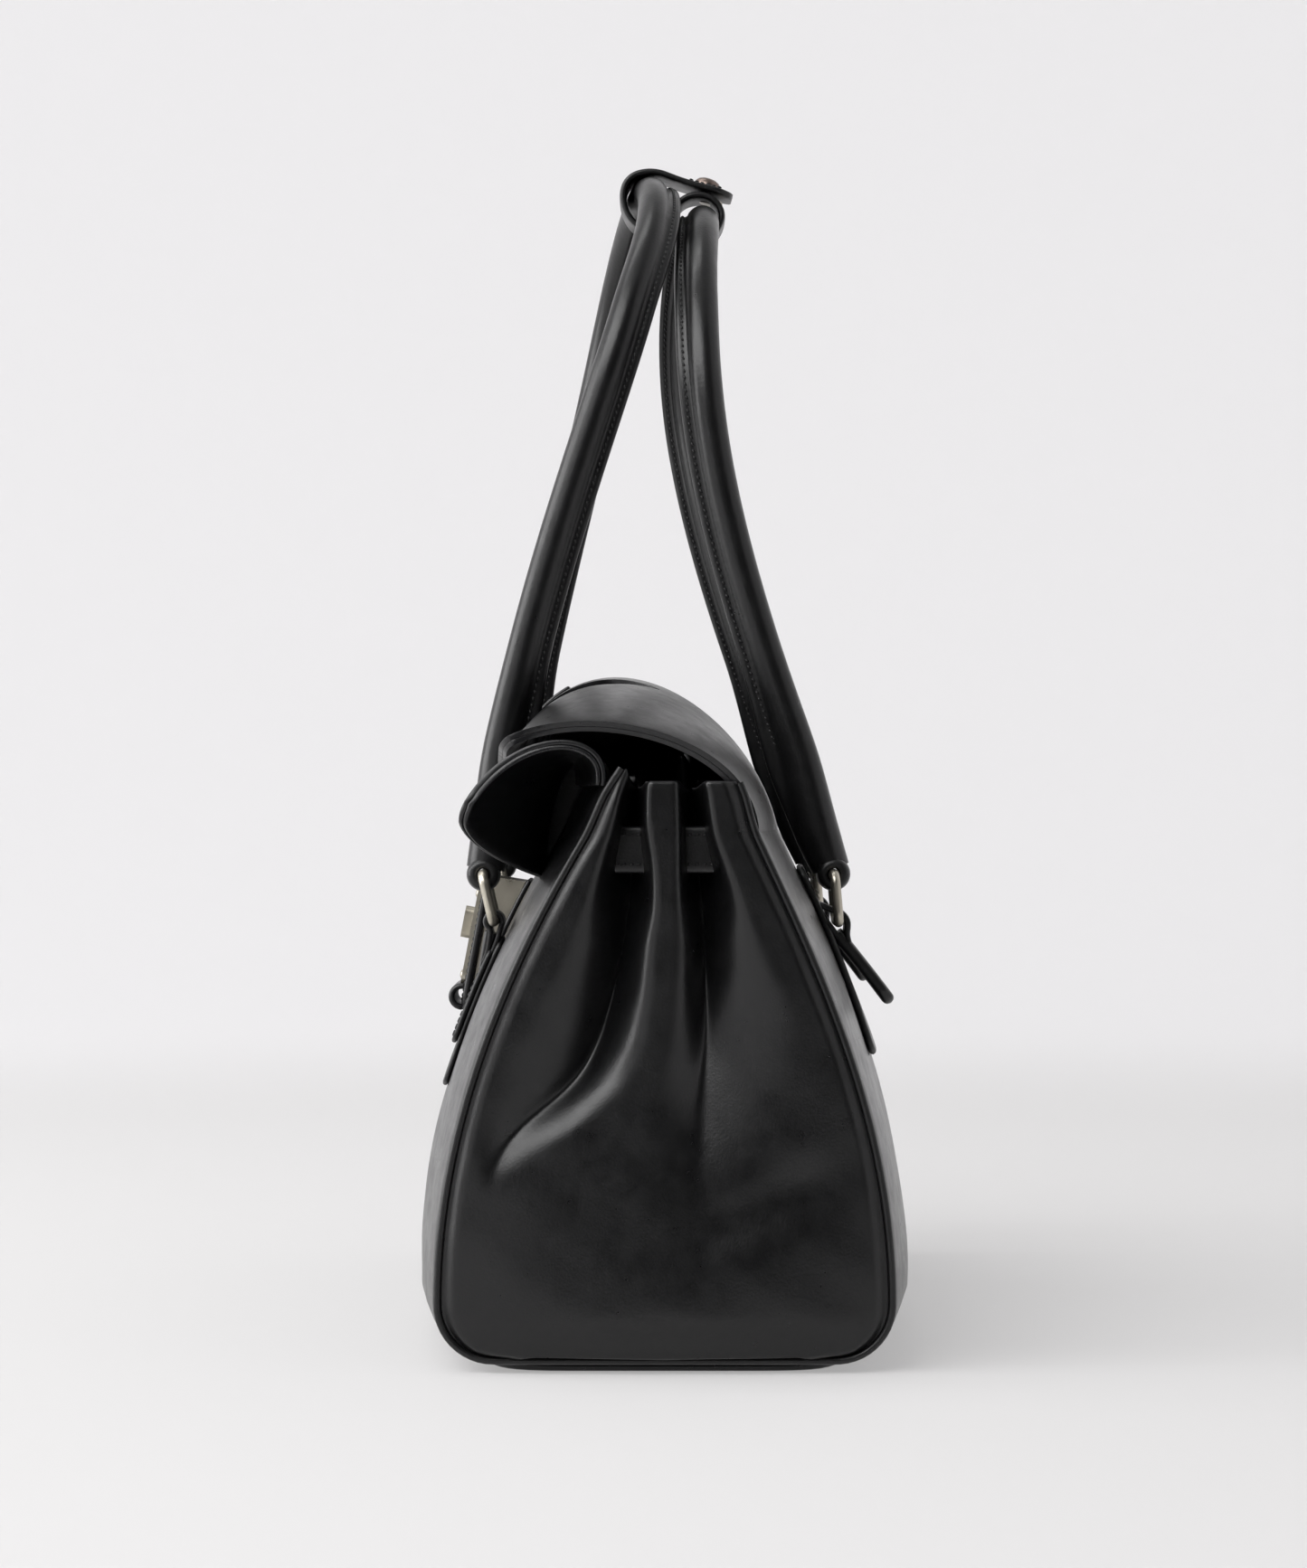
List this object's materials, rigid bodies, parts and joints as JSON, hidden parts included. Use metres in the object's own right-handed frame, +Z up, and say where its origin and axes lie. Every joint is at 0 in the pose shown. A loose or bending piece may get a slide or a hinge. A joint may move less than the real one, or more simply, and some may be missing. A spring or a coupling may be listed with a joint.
{
  "type": "handbag",
  "caption": "Belted flap shoulder handbag with folded end gussets, rolled handles on metal rings, a turn lock under the flap's tongue and a snap keeper joining the handles.",
  "frame": {"origin": "centre of the base panel's underside", "axes": "+Z up, X along the bag's length, the front with the lock towards -Y"},
  "size_m": [0.3304, 0.174, 0.4247],
  "materials": {
    "leather": "smooth, semi-matt black",
    "metal": "brushed nickel, slightly warm",
    "lining": "plain woven",
    "board": "plain board",
    "core": "twisted cord filling"
  },
  "bodies": {
    "bag_body": {"base_panel": "leather", "base_board": "board", "front_panel": "leather", "back_panel": "leather", "right_gusset": "leather", "left_gusset": "leather", "right_piping": "leather", "left_piping": "leather", "right_belt": "leather", "left_belt": "leather", "lining_body": "lining", "lining_ends": "lining", "front_lapel": "leather", "flap_root": "leather", "lock_patch": "leather", "lock_body": "metal", "lock_screws": "metal", "front_right_chape": "leather", "front_left_chape": "leather", "back_right_chape": "leather", "back_left_chape": "leather", "chape_rivets": "metal"},
    "flap": {"flap_front": "leather"},
    "tongue": {"tongue_strap": "leather", "hasp_plate": "metal", "hasp_rivets": "metal", "tongue_pull": "leather"},
    "toggle": {"lock_toggle": "metal"},
    "front_rings": {"front_right_ring": "metal", "front_left_ring": "metal"},
    "front_handle": {"front_handle_cover": "leather", "front_handle_core": "core", "front_handle_ends": "leather", "keeper_loop_front": "leather"},
    "keeper": {"keeper_tab": "leather", "snap_cap": "metal", "snap_socket": "metal"},
    "back_rings": {"back_right_ring": "metal", "back_left_ring": "metal"},
    "back_handle": {"back_handle_cover": "leather", "back_handle_core": "core", "back_handle_ends": "leather", "keeper_loop_back": "leather", "snap_stud": "metal"}
  },
  "joints": [
    {"name": "flap_fold", "type": "hinge", "parent": "bag_body", "child": "flap", "pos_m": [0, 0.014, 0.22389], "axis": [-1, 0, 0], "range_deg": [0, 100]},
    {"name": "tongue_lift", "type": "hinge", "parent": "flap", "child": "tongue", "pos_m": [0, -0.0599, 0.1953], "axis": [-1, 0, 0], "range_deg": [0, 80]},
    {"name": "toggle_turn", "type": "hinge", "parent": "bag_body", "child": "toggle", "pos_m": [0, -0.06978, 0.14355], "axis": [0, -0.9818, 0.1901], "range_deg": [0, 90]},
    {"name": "front_ring_swing", "type": "hinge", "parent": "bag_body", "child": "front_rings", "pos_m": [0, -0.06013, 0.14747], "axis": [1, 0, 0], "range_deg": [0, 50]},
    {"name": "front_handle_swing", "type": "hinge", "parent": "front_rings", "child": "front_handle", "pos_m": [0, -0.06395, 0.16403], "axis": [1, 0, 0], "range_deg": [0, 75]},
    {"name": "keeper_lift", "type": "hinge", "parent": "front_handle", "child": "keeper", "pos_m": [0, 0.00784, 0.42143], "axis": [1, 0, 0], "range_deg": [0, 90]},
    {"name": "back_ring_swing", "type": "hinge", "parent": "bag_body", "child": "back_rings", "pos_m": [0, 0.06145, 0.14726], "axis": [-1, 0, 0], "range_deg": [0, 45]},
    {"name": "back_handle_swing", "type": "hinge", "parent": "back_rings", "child": "back_handle", "pos_m": [0, 0.05997, 0.16419], "axis": [-1, 0, 0], "range_deg": [0, 65]}
  ]
}
